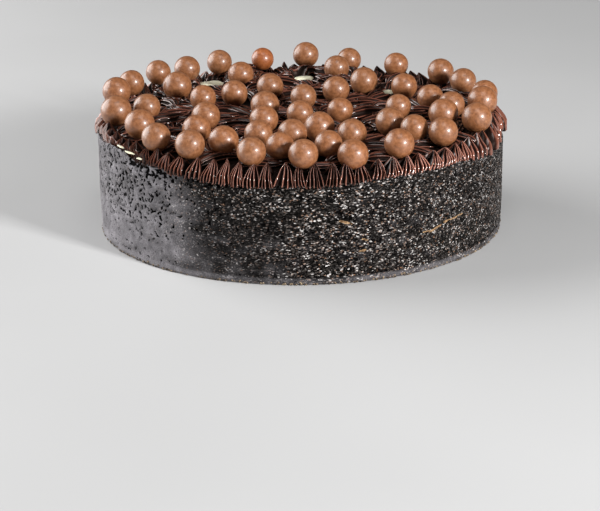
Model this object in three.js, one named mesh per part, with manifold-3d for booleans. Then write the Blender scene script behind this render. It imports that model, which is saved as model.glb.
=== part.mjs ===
// Chocolate cheesecake: a straight-sided case of dark pressed crumb, filled with pale
// cheesecake, with piped dark ganache over the whole top and malt balls laid on it.
// Millimetres, +Z up. The origin is the middle of the underside. -Y faces the viewer.

import * as THREE from 'three';
import * as BufferGeometryUtils from 'three/addons/utils/BufferGeometryUtils.js';
import Module from 'manifold-3d';

// Crumb case and filling
const CAKE_RADIUS = 125.6;
const CAKE_HEIGHT = 61.8;
const WALL_THICKNESS = 4;
const BASE_THICKNESS = 7;
const FOOT_TUCK = 0.6;          // how far the wall draws in at its foot
const FOOT_ROUND = 1.5;
const RIM_ROUND = 0.9;
const RIM_RIDGE = 2;            // width of the rim where it stands up outside the ganache
const CRUMB_RELIEF = 0.5;       // how deep the pressed crumb is uneven
const CASE_SEGMENTS = 60;
const GAP = 0.3;                // clearance between pieces that touch

const FILLING_RADIUS = CAKE_RADIUS - WALL_THICKNESS - GAP;
const FILLING_CROWN = 2;        // how far the filling rises above the rim
const CROWN_RADIUS = 106;       // the crown is level inside this radius
const FILLING_SEGMENTS = 56;

// Ganache: a spread layer, a border of shells round the rim, and piped strokes
const SPREAD_THICKNESS = 3.7;  // the balls lie on it
const SPREAD_SEGMENTS = 24;
const SHELL_COUNT = 84;
const SHELL_BACK_RADIUS = 124.1;
const SHELL_BACK_HEIGHT = 6.4;  // above the rim
const SHELL_PEAK_RADIUS = 119.6;
const SHELL_PEAK_HEIGHT = 8.6;
const SHELL_INNER_RADIUS = 115.1;
const SHELL_GROOVE = 2.3;       // depth of the valley between two shells
const SHELL_WIDTH_SPREAD = 0.22;
const SHELL_PEAK_SPREAD = 2;    // difference between the lowest and highest peak
const PEAK_NOTCH = 1.6;         // the valley is this much deeper between two peaks
const FOOT_EDGE_HEIGHT = 1.2;   // height of the foot's outer edge above its lip
const SHOULDER_HEIGHT = 3.2;    // above the rim
const SHOULDER_INSET = 0.9;
const LEAST_OVERHANG = 1.1;     // a foot that passes the rim by less stands on the crumb
const LIP_INSET = 1.6;          // how far in such a foot's lip and seat lie
const SEAT_INSET = 3.4;
const RIM_CLEARANCE = 1;        // between a lowered rim and a foot that stands over it
const STROKE_STATIONS = 5;
const STROKE_SINK = 1;          // how far a stroke is set into the spread layer
const STROKE_REACH = 103;       // no stroke's middle lies further out
const FILLER_COUNT = 70;
const FILLER_SPACING = 17;
const FILLER_RADIUS = 103;
const FILLER_LENGTH = 32;
const FILLER_WIDTH = 18;
const FILLER_HEIGHT = 4.5;
const FILLER_BEND = 4;

// How the border sits on the rim, by angle from +X: how far its foot reaches past the
// crumb, how far it hangs below the rim, how far its peaks lean along the rim, and how
// far the crumb's own rim stands above or below its usual height.
const RIM_FIT = [
  { angle: -180, reach: 1.8, hang: 1.2, lean: 0, rise: 0 },
  { angle: -174, reach: 1.2, hang: 0, lean: 0, rise: 0 },
  { angle: -166, reach: -2.5, hang: 0, lean: 0, rise: 0 },
  { angle: -162, reach: -2.5, hang: 0, lean: 0, rise: 0 },
  { angle: -156, reach: -2.5, hang: 0, lean: 0, rise: 3.2 },
  { angle: -148, reach: -2.5, hang: 0, lean: 0, rise: 3.6 },
  { angle: -141, reach: -2.5, hang: 0, lean: 0, rise: 0 },
  { angle: -131, reach: 1.2, hang: 0, lean: 0, rise: 0 },
  { angle: -122, reach: 2, hang: 1.8, lean: 0, rise: 0 },
  { angle: -106, reach: 2.6, hang: 3.6, lean: 0, rise: 0 },
  { angle: -86, reach: 2.2, hang: 2.8, lean: 0.5, rise: 0 },
  { angle: -68, reach: 1.4, hang: 0.3, lean: 1, rise: 0 },
  { angle: -46, reach: 1.6, hang: 0.3, lean: 3, rise: 0 },
  { angle: -26, reach: 3.0, hang: 4.0, lean: 6, rise: 0 },
  { angle: -9, reach: -0.8, hang: 0, lean: 5, rise: -5.6 },
  { angle: 4, reach: 3.6, hang: 6.4, lean: 4, rise: -6 },
  { angle: 30, reach: 2.6, hang: 1.8, lean: 2, rise: 0 },
  { angle: 70, reach: 2.4, hang: 1.2, lean: 1, rise: 0 },
  { angle: 130, reach: 2.6, hang: 2.0, lean: 0, rise: 0 },
];

// Malt balls
const BALL_HEIGHT = CAKE_HEIGHT + 15;   // usual height of a ball's centre
const BALL_REACH = 116.6;               // no ball's centre lies further out
const BALL_CLEARANCE = 0.3;
const SLIDE_STEP = 0.4;
const SLIDE_PASSES = 60;
const SEAT_SCALE = 1.26;                // an icosahedron this much larger holds the ball

// The reference view, in which the places below are read: a level 600 by 511 frame.
const VIEW_HEIGHT = 511;
const VIEW_CENTRE = 301.6;              // where the view's axis meets the frame, across
const VIEW_FOCAL = 2124;                // pixels
const VIEW_DISTANCE = 1276;
const VIEW_RISE = 412;
const VIEW_PITCH = THREE.MathUtils.degToRad(18.88);
const VIEW_ROLL = THREE.MathUtils.degToRad(-0.55);

// Malt balls as seen: centre across, centre down and diameter, in pixels of the view
const BALLS_SEEN = [
  [116.7, 91.2, 28.6], [131.7, 82.8, 25.7], [116.2, 110.9, 31.3], [146.8, 107.1, 27.4],
  [158.3, 72.5, 25.1], [187.1, 68.8, 26.0], [177.3, 86.0, 29.2], [219.5, 62.2, 25.0],
  [240.8, 74.4, 26.0], [262.6, 58.9, 22.4], [305.8, 54.8, 25.8], [139.8, 124.2, 30.6],
  [156.2, 137.1, 29.5], [203.0, 98.0, 26.5], [205.8, 115.8, 28.9], [234.5, 93.3, 26.5],
  [270.0, 86.3, 26.7], [265.0, 105.2, 29.0], [196.6, 129.0, 29.0], [189.9, 144.5, 30.4],
  [223.6, 140.7, 30.7], [264.0, 119.3, 28.8], [258.4, 134.0, 28.8], [251.4, 151.5, 29.7],
  [292.3, 133.6, 30.0], [280.1, 145.9, 28.5], [303.4, 96.7, 26.3], [300.0, 113.5, 27.0],
  [319.4, 126.8, 30.8], [335.9, 89.5, 27.3], [349.1, 59.7, 24.0], [336.6, 68.0, 25.4],
  [363.9, 80.9, 27.7], [396.2, 64.7, 24.4], [404.1, 86.2, 26.3], [340.2, 110.3, 26.1],
  [352.0, 133.3, 29.6], [328.5, 144.0, 28.3], [303.2, 153.9, 30.5], [353.1, 154.5, 31.5],
  [398.3, 106.7, 25.8], [390.0, 121.8, 29.4], [414.4, 128.2, 28.3], [399.3, 143.6, 30.6],
  [430.3, 97.4, 26.5], [440.7, 71.6, 26.5], [463.2, 81.2, 26.5], [484.4, 93.1, 26.5],
  [482.4, 100.8, 30.0], [451.4, 104.6, 27.0], [443.3, 113.2, 30.0], [443.3, 131.8, 29.8],
  [476.8, 117.5, 30.6],
];

// Piped strokes as seen: middle across and down in pixels, then the heading in plan in
// degrees from +X, and the length, the width, the height and the sideways bend in mm
const STROKES_SEEN = [
  [171, 119, 22, 30, 17.5, 5.8, 4], [167, 103, -40, 19, 14.5, 4.8, 4], [153, 92, -50, 23, 14.5, 4.8, 2],
  [136, 100, 60, 21, 14.5, 4.8, -3], [196, 87, -62, 21, 14.5, 4.8, 2], [206, 80, 84, 20, 16.5, 5.3, 1],
  [228, 88, 42, 21, 12.5, 4.8, 3], [222, 99, -14, 25, 15.5, 4.8, 3], [231, 112, -18, 31, 16.5, 5.3, 5],
  [236, 123, 6, 29, 15.5, 5.3, 4], [249, 94, -58, 25, 15.5, 4.8, 2], [266, 79, 46, 33, 17.5, 5.8, 4],
  [280, 71, -52, 19, 13.5, 5.3, 2], [300, 75, 4, 37, 17.5, 5.8, -5], [306, 67, 12, 25, 18.5, 6.3, 3],
  [290, 93, 48, 27, 13.5, 5.3, 4], [314, 88, 38, 23, 14.5, 4.8, 2], [322, 107, 66, 21, 15.5, 4.8, -3],
  [286, 114, 8, 25, 15.5, 4.8, 3], [333, 124, -30, 19, 13.5, 4.8, 2], [356, 99, 20, 23, 16.5, 5.3, 4],
  [368, 112, 14, 33, 17.5, 5.8, 5], [376, 101, -12, 29, 14.5, 4.8, -3], [384, 87, 44, 27, 16.5, 5.3, 3],
  [380, 75, 80, 21, 14.5, 5.3, 2], [416, 79, -58, 21, 14.5, 5.3, 2], [424, 90, 40, 21, 14.5, 4.8, 2],
  [447, 89, 70, 21, 14.5, 4.8, 2], [419, 115, 24, 27, 15.5, 4.8, 4], [377, 152, 6, 29, 17.5, 5.3, 5],
  [373, 139, 28, 25, 15.5, 4.8, 3], [375, 127, -40, 23, 14.5, 4.3, 3], [425, 143, 10, 23, 15.5, 4.3, 2],
  [177, 133, 12, 21, 14.5, 4.8, 4], [219, 156, 8, 33, 15.5, 4.3, 3], [461, 125, 60, 19, 13.5, 4.8, 2],
];

// Bare places in the ganache as seen: middle in pixels, then the width across the view
// and the depth along it in mm, where the pale filling shows
const BARE_PLACES_SEEN = [
  [211, 86, 13, 10], [304, 81, 11, 8], [388, 94.5, 5, 6],
];

const BARE_SIDES = 8;

const CRUMB_COLOUR = 0x2b2726;
const FILLING_COLOUR = 0xeee3bd;
const GANACHE_COLOUR = 0x3a201a;
const BALL_COLOUR = 0x9a5f3c;

const wasm = await Module();
wasm.setup();

// A value from 0 to 1 that looks random and is the same each time for the same index
function scatter(index) {
  const wave = Math.sin(index * 12.9898 + 4.1414) * 43758.5453;
  return wave - Math.floor(wave);
}

function toSolid(geometry) {
  const bare = geometry.clone();
  bare.deleteAttribute('normal');
  bare.deleteAttribute('uv');
  const merged = BufferGeometryUtils.mergeVertices(bare, 1e-4);
  return new wasm.Manifold(new wasm.Mesh({
    numProp: 3,
    vertProperties: new Float32Array(merged.attributes.position.array),
    triVerts: new Uint32Array(merged.index.array),
  }));
}

function toGeometry(solid) {
  const mesh = solid.getMesh();
  const geometry = new THREE.BufferGeometry();
  geometry.setAttribute('position', new THREE.BufferAttribute(mesh.vertProperties, 3));
  geometry.setIndex(new THREE.BufferAttribute(mesh.triVerts, 1));
  geometry.computeVertexNormals();
  return geometry;
}

// The outer body alone: loose scraps go, and hollows that joining has sealed are filled
function largestBody(solid) {
  const bodies = solid.decompose();
  return bodies.reduce((best, body) => (body.volume() > best.volume() ? body : best));
}

// A closed body through equal loops of points, with a flat face at each end
function loft(loops) {
  const size = loops[0].length;
  const indices = [];
  for (let here = 0; here < (loops.length - 1) * size; here += size) {
    const next = here + size;
    for (let i = 0; i < size; i += 1) {
      const j = (i + 1) % size;
      indices.push(here + i, next + j, here + j, here + i, next + i, next + j);
    }
  }
  const last = (loops.length - 1) * size;
  for (let i = 1; i < size - 1; i += 1) {
    indices.push(0, i, i + 1, last, last + i + 1, last + i);
  }
  return new THREE.BufferGeometry().setFromPoints(loops.flat()).setIndex(indices);
}

// A closed body round the axis through rows of points. Each row runs once round, and
// may have its own number of points. The rows follow the section anticlockwise, seen
// with the axis on the left, and a row of one point lies on the axis.
function zipRows(rows) {
  const points = rows.flat().map((entry) => entry.point);
  const indices = [];
  let first = 0;
  for (let row = 0; row < rows.length; row += 1) {
    const lower = rows[row];
    const upper = rows[(row + 1) % rows.length];
    const second = (first + lower.length) % points.length;
    const turnIn = (list, i) => list[i % list.length].turn + 360 * Math.floor(i / list.length);
    const lowerSteps = lower.length > 1 ? lower.length : 0;
    const upperSteps = upper.length > 1 ? upper.length : 0;
    let i = 0;
    let j = 0;
    while (i < lowerSteps || j < upperSteps) {
      const a = first + (i % lower.length);
      const b = second + (j % upper.length);
      const lowerIsNext = turnIn(lower, i + 1) <= turnIn(upper, j + 1);
      if (j === upperSteps || (i < lowerSteps && lowerIsNext)) {
        i += 1;
        indices.push(a, first + (i % lower.length), b);
      } else {
        j += 1;
        indices.push(a, second + (j % upper.length), b);
      }
    }
    first = second;
  }
  return new THREE.BufferGeometry().setFromPoints(points).setIndex(indices);
}

// The lathe turns about Y, so its result is laid over to turn about Z
function turned(profile, segments) {
  const points = profile.map(([radius, height]) => new THREE.Vector2(radius, height));
  return new THREE.LatheGeometry(points, segments).rotateX(Math.PI / 2);
}

// Height of the filling's top: level in the middle, sloping down to the rim
function fillingTop(radius) {
  const slope = (FILLING_RADIUS - radius) / (FILLING_RADIUS - CROWN_RADIUS);
  return CAKE_HEIGHT + FILLING_CROWN * THREE.MathUtils.clamp(slope, 0, 1);
}

function spreadTop(radius) {
  return fillingTop(radius) + GAP + SPREAD_THICKNESS;
}

// The line of sight through a pixel of the view
function sightLine(across, down) {
  const right = new THREE.Vector3(1, 0, 0);
  const forward = new THREE.Vector3(0, Math.cos(VIEW_PITCH), -Math.sin(VIEW_PITCH));
  const up = new THREE.Vector3().crossVectors(right, forward);
  right.applyAxisAngle(forward, -VIEW_ROLL);
  up.applyAxisAngle(forward, -VIEW_ROLL);
  const direction = forward.clone();
  direction.addScaledVector(right, (across - VIEW_CENTRE) / VIEW_FOCAL);
  direction.addScaledVector(up, (VIEW_HEIGHT / 2 - down) / VIEW_FOCAL);
  return { origin: new THREE.Vector3(0, -VIEW_DISTANCE, VIEW_RISE), direction };
}

// The point of a sight line at a depth in front of the eye
function atDepth(line, depth) {
  return line.origin.clone().addScaledVector(line.direction, depth);
}

// How far along a sight line a thing of the given height lies. One that would lie
// further out on the cake than the reach slides along the line until it doesn't.
function depthOnCake(line, height, reach) {
  let depth = (height - line.origin.z) / line.direction.z;
  let place = atDepth(line, depth);
  const slide = place.y > 0 ? -SLIDE_STEP : SLIDE_STEP;
  while (Math.hypot(place.x, place.y) > reach) {
    depth += slide;
    place = atDepth(line, depth);
  }
  return depth;
}

// The case: outer wall drawn in at the foot, and an inner face that meets the filling
function crumbCase() {
  const outer = CAKE_RADIUS;
  const inner = CAKE_RADIUS - WALL_THICKNESS;
  const rimRow = Math.round(CAKE_HEIGHT - RIM_ROUND);
  const wallRows = [0.33, 0.68].map((part) => [outer, part * CAKE_HEIGHT]);
  const geometry = turned([
    [0, 0],
    [outer - FOOT_TUCK - FOOT_ROUND, 0],
    [outer - FOOT_TUCK, FOOT_ROUND],
    ...wallRows,
    [outer, CAKE_HEIGHT - RIM_ROUND],
    [outer - RIM_ROUND, CAKE_HEIGHT],
    [outer - RIM_RIDGE, CAKE_HEIGHT],
    [inner, CAKE_HEIGHT],
    [inner, BASE_THICKNESS],
    [0, BASE_THICKNESS],
  ], CASE_SEGMENTS);
  const place = geometry.attributes.position;
  for (let i = 0; i < place.count; i += 1) {
    const radius = Math.hypot(place.getX(i), place.getY(i));
    const turn = Math.atan2(place.getY(i), place.getX(i));
    const cell = Math.round((turn / (2 * Math.PI)) * CASE_SEGMENTS + CASE_SEGMENTS) % CASE_SEGMENTS;
    const row = Math.round(place.getZ(i));
    if (radius > inner + 1 && row > 0 && row < rimRow) {
      const press = 1 - (CRUMB_RELIEF * scatter(cell * 7.3 + row * 1.7)) / radius;
      place.setX(i, place.getX(i) * press);
      place.setY(i, place.getY(i) * press);
    }
    const { rise } = rimFitAt(THREE.MathUtils.radToDeg(turn));
    if (row >= rimRow && (rise < 0 || radius > outer - RIM_RIDGE + GAP)) {
      place.setZ(i, place.getZ(i) + rise);
    }
  }
  return geometry;
}

function cheesecakeFilling() {
  return turned([
    [0, BASE_THICKNESS + GAP],
    [FILLING_RADIUS, BASE_THICKNESS + GAP],
    [FILLING_RADIUS, CAKE_HEIGHT],
    [CROWN_RADIUS, CAKE_HEIGHT + FILLING_CROWN],
    [0, CAKE_HEIGHT + FILLING_CROWN],
  ], FILLING_SEGMENTS);
}

// The border's fit at an angle, eased between the two nearest rows of RIM_FIT
function rimFitAt(degrees) {
  const angle = ((degrees + 180) % 360 + 360) % 360 - 180;
  let before = RIM_FIT.length - 1;
  while (RIM_FIT[before].angle > angle) {
    before -= 1;
  }
  const from = RIM_FIT[before];
  const to = RIM_FIT[(before + 1) % RIM_FIT.length];
  const toAngle = to.angle > from.angle ? to.angle : to.angle + 360;
  const part = THREE.MathUtils.smoothstep(angle, from.angle, toAngle);
  return {
    reach: THREE.MathUtils.lerp(from.reach, to.reach, part),
    hang: THREE.MathUtils.lerp(from.hang, to.hang, part),
    lean: THREE.MathUtils.lerp(from.lean, to.lean, part),
    rise: THREE.MathUtils.lerp(from.rise, to.rise, part),
  };
}

// The widths of the border's shells, uneven as squeezed by hand, adding up to a turn
function shellStarts() {
  const widths = [];
  for (let shell = 0; shell < SHELL_COUNT; shell += 1) {
    widths.push(1 + SHELL_WIDTH_SPREAD * (2 * scatter(shell + 300) - 1));
  }
  const total = widths.reduce((sum, width) => sum + width, 0);
  const starts = [-180];
  for (const width of widths) {
    starts.push(starts.at(-1) + (360 * width) / total);
  }
  return starts;
}

function aroundAxis(radius, degrees, height) {
  const turn = THREE.MathUtils.degToRad(degrees);
  return new THREE.Vector3(radius * Math.cos(turn), radius * Math.sin(turn), height);
}

// A row of points round the border. Each shell has a valley at its start and one or
// two points on its back; `spots` says where these lie across the shell, and `place`
// gives the radius and height of a point, and how far it leans along the rim in mm.
function borderRow(starts, spots, place) {
  const row = [];
  for (let shell = 0; shell < SHELL_COUNT; shell += 1) {
    const width = starts[shell + 1] - starts[shell];
    for (const spot of spots) {
      const turn = starts[shell] + spot * width;
      const groove = spot === 0 ? SHELL_GROOVE : 0;
      const { radius, height, lean = 0 } = place(rimFitAt(turn), groove, shell);
      const leaned = turn + THREE.MathUtils.radToDeg(lean / CAKE_RADIUS);
      row.push({ turn, point: aroundAxis(radius, leaned, height) });
    }
  }
  return row;
}

// A level row of evenly spaced points
function evenRow(radius, height, steps) {
  const row = [];
  for (let step = 0; step < steps; step += 1) {
    const turn = -180 + (360 * step) / steps;
    row.push({ turn, point: aroundAxis(radius, turn, height) });
  }
  return row;
}

function axisRow(height) {
  return [{ turn: -180, point: new THREE.Vector3(0, 0, height) }];
}

// The spread layer and, round it, the border of shells. A shell's foot is broad and
// hangs over the rim, its back rises inwards, and its peak is narrow. Where the foot
// falls short of the rim it stands on the crumb instead.
function spreadAndBorder() {
  const starts = shellStarts();
  const seat = CAKE_HEIGHT + GAP;
  const overhangs = (fit) => fit.reach > LEAST_OVERHANG;
  const lipReach = (fit, inset) => (overhangs(fit) ? GAP : fit.reach - inset);
  const lipHeight = (fit) => {
    const sunk = Math.min(0, fit.rise + RIM_CLEARANCE);
    return seat + (overhangs(fit) ? -Math.max(fit.hang, GAP) : sunk);
  };
  const footRadius = (fit, groove) => CAKE_RADIUS + Math.max(
    fit.reach - groove,
    lipReach(fit, LIP_INSET) + GAP,
  );
  return zipRows([
    borderRow(starts, [0], (fit) => (
      { radius: CAKE_RADIUS + lipReach(fit, LIP_INSET), height: lipHeight(fit) })),
    borderRow(starts, [0, 0.2, 0.8], (fit, groove) => (
      { radius: footRadius(fit, groove), height: lipHeight(fit) + FOOT_EDGE_HEIGHT })),
    borderRow(starts, [0, 0.5], (fit, groove) => ({
      radius: footRadius(fit, groove) - SHOULDER_INSET,
      height: seat + SHOULDER_HEIGHT - groove / 2,
    })),
    borderRow(starts, [0, 0.5], (fit, groove) => ({
      radius: SHELL_BACK_RADIUS - groove / 2,
      height: seat + SHELL_BACK_HEIGHT - groove,
      lean: fit.lean / 2,
    })),
    borderRow(starts, [0, 0.5], (fit, groove, shell) => ({
      radius: SHELL_PEAK_RADIUS,
      height: seat + SHELL_PEAK_HEIGHT - PEAK_NOTCH * groove
        + SHELL_PEAK_SPREAD * (scatter(shell + 500) - 0.5),
      lean: fit.lean,
    })),
    evenRow(SHELL_INNER_RADIUS, spreadTop(SHELL_INNER_RADIUS), SPREAD_SEGMENTS),
    evenRow(CROWN_RADIUS, spreadTop(CROWN_RADIUS), SPREAD_SEGMENTS),
    axisRow(spreadTop(0)),
    axisRow(fillingTop(0) + GAP),
    evenRow(CROWN_RADIUS, fillingTop(CROWN_RADIUS) + GAP, FILLING_SEGMENTS),
    borderRow(starts, [0], (fit) => (
      { radius: CAKE_RADIUS + lipReach(fit, SEAT_INSET), height: seat })),
  ]);
}

// A piped stroke: an arched rope that swells, bends to one side and tails off
function pipedStroke({ middle, heading, length, width, height, bend }) {
  const along = new THREE.Vector3(Math.cos(heading), Math.sin(heading), 0);
  const aside = new THREE.Vector3(-along.y, along.x, 0);
  const loops = [];
  for (let station = 0; station < STROKE_STATIONS; station += 1) {
    const part = station / (STROKE_STATIONS - 1);
    const swell = Math.sqrt(1 - 0.93 * Math.abs(2 * part - 1) ** 3);
    const centre = middle.clone()
      .addScaledVector(along, (part - 0.5) * length)
      .addScaledVector(aside, bend * (1 - (2 * part - 1) ** 2));
    const arch = [[-0.5, 0], [-0.34, 0.72], [0, 1], [0.34, 0.72], [0.5, 0]];
    loops.push(arch.map(([across, rise]) => {
      const point = centre.clone().addScaledVector(aside, across * width * swell);
      point.z = spreadTop(Math.hypot(point.x, point.y)) - STROKE_SINK + rise * height * swell;
      return point;
    }));
  }
  return loft(loops);
}

function seenStrokes() {
  return STROKES_SEEN.map(([across, down, degrees, length, width, height, bend]) => {
    const line = sightLine(across, down);
    const middle = atDepth(line, depthOnCake(line, spreadTop(0) + height / 2, STROKE_REACH));
    const heading = THREE.MathUtils.degToRad(degrees);
    return { middle, heading, length, width, height, bend };
  });
}

// Strokes fill in where the view shows none, spread like the seeds of a sunflower
function fillerStrokes(taken) {
  const goldenTurn = Math.PI * (3 - Math.sqrt(5));
  const strokes = [];
  for (let i = 0; i < FILLER_COUNT; i += 1) {
    const radius = FILLER_RADIUS * Math.sqrt((i + 0.5) / FILLER_COUNT);
    const turn = i * goldenTurn;
    const middle = new THREE.Vector3(radius * Math.cos(turn), radius * Math.sin(turn), 0);
    const isFree = taken.every((other) => (
      Math.hypot(other.x - middle.x, other.y - middle.y) > FILLER_SPACING
    ));
    if (isFree) {
      strokes.push({
        middle,
        heading: 2 * Math.PI * scatter(i + 40),
        length: FILLER_LENGTH * (1 + 0.25 * scatter(i + 140)),
        width: FILLER_WIDTH * (1 + 0.16 * scatter(i + 240)),
        height: FILLER_HEIGHT * (1 + 0.3 * scatter(i + 340)),
        bend: FILLER_BEND * (2 * scatter(i + 440) - 1),
      });
    }
  }
  return strokes;
}

// A bare place goes right through the spread layer
function barePlaces() {
  return BARE_PLACES_SEEN.map(([across, down, width, depth]) => {
    const line = sightLine(across, down);
    const middle = atDepth(line, depthOnCake(line, fillingTop(0), STROKE_REACH));
    return { middle, width, depth };
  });
}

function bareHole({ middle, width, depth }) {
  return new THREE.CylinderGeometry(0.5, 0.5, 2 * CAKE_HEIGHT, BARE_SIDES)
    .rotateX(Math.PI / 2)
    .scale(width, depth, 1)
    .translate(middle.x, middle.y, CAKE_HEIGHT);
}

// Each ball stays on its sight line, and balls that would touch slide apart along it
function placedBalls() {
  const balls = BALLS_SEEN.map(([across, down, size]) => {
    const line = sightLine(across, down);
    return { line, depth: depthOnCake(line, BALL_HEIGHT, BALL_REACH), size };
  });
  const refresh = (ball) => {
    ball.centre = atDepth(ball.line, ball.depth);
    ball.radius = (ball.size / 2) * (ball.depth / VIEW_FOCAL);
  };
  balls.forEach(refresh);
  for (let pass = 0; pass < SLIDE_PASSES; pass += 1) {
    for (const near of balls) {
      for (const far of balls) {
        const apart = near.centre.distanceTo(far.centre);
        const needed = near.radius + far.radius + BALL_CLEARANCE;
        if (near.depth < far.depth && apart < needed) {
          near.depth -= SLIDE_STEP;
          far.depth += SLIDE_STEP;
          refresh(near);
          refresh(far);
        }
      }
    }
  }
  return balls;
}

// The ganache is one piece. Each ball has pressed its own seat into it.
function pipedGanache(balls) {
  const seen = seenStrokes();
  const bare = barePlaces();
  const taken = [...seen, ...bare].map((thing) => thing.middle);
  const strokes = [...seen, ...fillerStrokes(taken)];
  let ganache = toSolid(spreadAndBorder());
  for (const stroke of strokes) {
    ganache = ganache.add(toSolid(pipedStroke(stroke)));
  }
  for (const place of bare) {
    ganache = ganache.subtract(toSolid(bareHole(place)));
  }
  for (const { centre, radius } of balls) {
    const seat = new THREE.IcosahedronGeometry(radius * SEAT_SCALE + GAP, 0);
    seat.translate(centre.x, centre.y, centre.z);
    ganache = ganache.subtract(toSolid(seat));
  }
  return toGeometry(largestBody(ganache));
}

function piece(name, geometry, colour, roughness) {
  const material = new THREE.MeshStandardMaterial({ color: colour, roughness, metalness: 0 });
  const mesh = new THREE.Mesh(geometry, material);
  mesh.name = name;
  return mesh;
}

function cheesecake() {
  const cake = new THREE.Group();
  const balls = placedBalls();
  cake.add(piece('crumb_case', crumbCase(), CRUMB_COLOUR, 0.85));
  cake.add(piece('cheesecake_filling', cheesecakeFilling(), FILLING_COLOUR, 0.6));
  cake.add(piece('piped_ganache', pipedGanache(balls), GANACHE_COLOUR, 0.45));
  balls.forEach(({ centre, radius }, index) => {
    const name = `malt_ball_${String(index + 1).padStart(2, '0')}`;
    const ball = piece(name, new THREE.IcosahedronGeometry(radius, 1), BALL_COLOUR, 0.35);
    ball.position.copy(centre);
    cake.add(ball);
  });
  return cake;
}

export default cheesecake();
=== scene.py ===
"""Dressed model of a chocolate cheesecake: a pressed crumb case, the pale filling, piped
ganache and malt balls. Shapes are worked out in millimetres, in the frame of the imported
model, and become metres when a mesh is made."""

import math

import bmesh
import bpy
import numpy as np
from mathutils import Matrix, Vector, noise


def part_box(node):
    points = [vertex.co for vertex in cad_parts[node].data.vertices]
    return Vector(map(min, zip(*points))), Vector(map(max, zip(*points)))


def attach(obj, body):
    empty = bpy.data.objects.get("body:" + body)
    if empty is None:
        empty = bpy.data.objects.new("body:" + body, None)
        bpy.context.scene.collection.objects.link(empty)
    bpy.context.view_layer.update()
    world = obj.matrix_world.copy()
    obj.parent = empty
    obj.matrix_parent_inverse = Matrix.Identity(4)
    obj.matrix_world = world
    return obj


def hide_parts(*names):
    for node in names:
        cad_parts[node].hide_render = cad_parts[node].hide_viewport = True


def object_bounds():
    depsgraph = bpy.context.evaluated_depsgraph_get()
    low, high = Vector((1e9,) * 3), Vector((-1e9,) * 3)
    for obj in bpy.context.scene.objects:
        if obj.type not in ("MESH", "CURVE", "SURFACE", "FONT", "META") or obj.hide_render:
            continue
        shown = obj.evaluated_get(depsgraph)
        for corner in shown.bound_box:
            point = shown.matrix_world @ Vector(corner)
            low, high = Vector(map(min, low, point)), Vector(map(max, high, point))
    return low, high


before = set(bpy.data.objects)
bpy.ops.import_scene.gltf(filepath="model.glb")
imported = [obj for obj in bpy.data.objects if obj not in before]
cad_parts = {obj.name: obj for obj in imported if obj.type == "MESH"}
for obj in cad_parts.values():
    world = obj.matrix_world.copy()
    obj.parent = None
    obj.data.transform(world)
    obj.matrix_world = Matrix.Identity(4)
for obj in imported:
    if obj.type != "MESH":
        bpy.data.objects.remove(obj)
cad_low, cad_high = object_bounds()

MM = 0.001
BODY = "root"
BOX_MARGIN = 0.03  # kept free inside the box of the solids
BALL_CLEARANCE = 0.1  # between the ganache and a malt ball

# Crumb case and filling, as in the solids
CAKE_RADIUS = 125.6
CAKE_HEIGHT = 61.8
WALL_THICKNESS = 4.0
BASE_THICKNESS = 7.0
FOOT_TUCK = 0.6
FOOT_ROUND = 1.5
TUCK_HEIGHT = 20.4
RIM_ROUND = 0.9
RIM_RIDGE = 2.0  # width of the rim where it stands up outside the ganache
GAP = 0.3
FILLING_RADIUS = CAKE_RADIUS - WALL_THICKNESS - GAP
FILLING_CROWN = 2.0
CROWN_RADIUS = 106.0
FILLING_STEPS = 360
FILLING_RINGS = 62
FILLING_EDGE = 4.0  # how far the side of the filling shows below the rim

# The crumb
CRUMB_SIZE = 0.64  # of the single crumbs in the material
GRAIN_SIZE = 1.7  # of those in the mesh
WALL_SEGMENTS = 1000
WALL_ROW_STEP = 0.8
GRAIN_HEIGHT = 0.50
PRESSED_LOSS = 0.40  # how much of the grain's height goes where it was pressed
PIT_DEPTH = 0.75
WALL_SINK = 0.15  # how far the middle of the relief lies inside the solid

# Zones of the wall. A pair says where a zone begins and where it is complete: in degrees
# from +X, from 0 over the front and the left side to -360, or in mm above the foot.
# The pressed zone: smoother, and painted grey as a sheen of the light from the left
PRESSED_SHEEN_FRONT = (-112, -136)
PRESSED_SHEEN_BACK = (-222, -184)
LOW_PRESSED_TURN = (-82, -112)
LOW_PRESSED_HEIGHT = (36, 16)
LOW_PRESSED_END = -200
FOOT_BAND = (5.0, 3.4)
SHADED_LEFT = (-152, -138)
SHADED_RIGHT = (-92, -112)
SHADED_DEPTH = (9.0, 3.0)  # mm below the rim
FEWER_PITS_HEIGHT = (34, 18)
PITS_FROM = (3.2, 5.5)
# Where the crumbs are painted darker as shade: all round but for the front right and the pressed
# left
GLINT_SHADE_TURN = (-86, -104)
GLINT_SHADE_HEIGHT = (50, 30)
GROOVE_HEIGHT = 5.2  # of the dark line near the foot
GROOVE_WIDTH = 0.7
CRACK_LENGTH = 4.2
CRACK_WIDTH = 1.25
CRACK_LEAN = (0.80, 0.60)  # cosine and sine of the cracks' slope

# Ganache, as in the solids
SPREAD_THICKNESS = 3.7
SPREAD_RADIUS = 123.2
SPREAD_SLOPES_FROM = 117.0  # outside this radius the layer thins out under the border
SPREAD_SINK = 1.5  # how far the layer's middle lies below the solid's top
SPREAD_FOOT_DROP = 1.0
SPREAD_STEPS = 560
SPREAD_RINGS = 150
SPREAD_UNEVENNESS = 1.0
SPREAD_RIDGE_HEIGHT = 1.1
SPREAD_RIDGE_WIDTH = 2.3
# The layer's ridges are painted darker than the border's, as shade under the strokes
SPREAD_CREST_LIGHT = 0.62  # how light the layer's ridges are, beside the border's
SHELL_COUNT = 84
SHELL_USUAL_WIDTH = 9.0
SHELL_WIDTH_SPREAD = 0.22
SHELL_PEAK_SPREAD = 2.4
SHELL_HANG_SPREAD = 0.9
SHELL_REACH_SPREAD = 0.7
STROKE_SINK = 1.0
STROKE_REACH = 103.0

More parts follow.
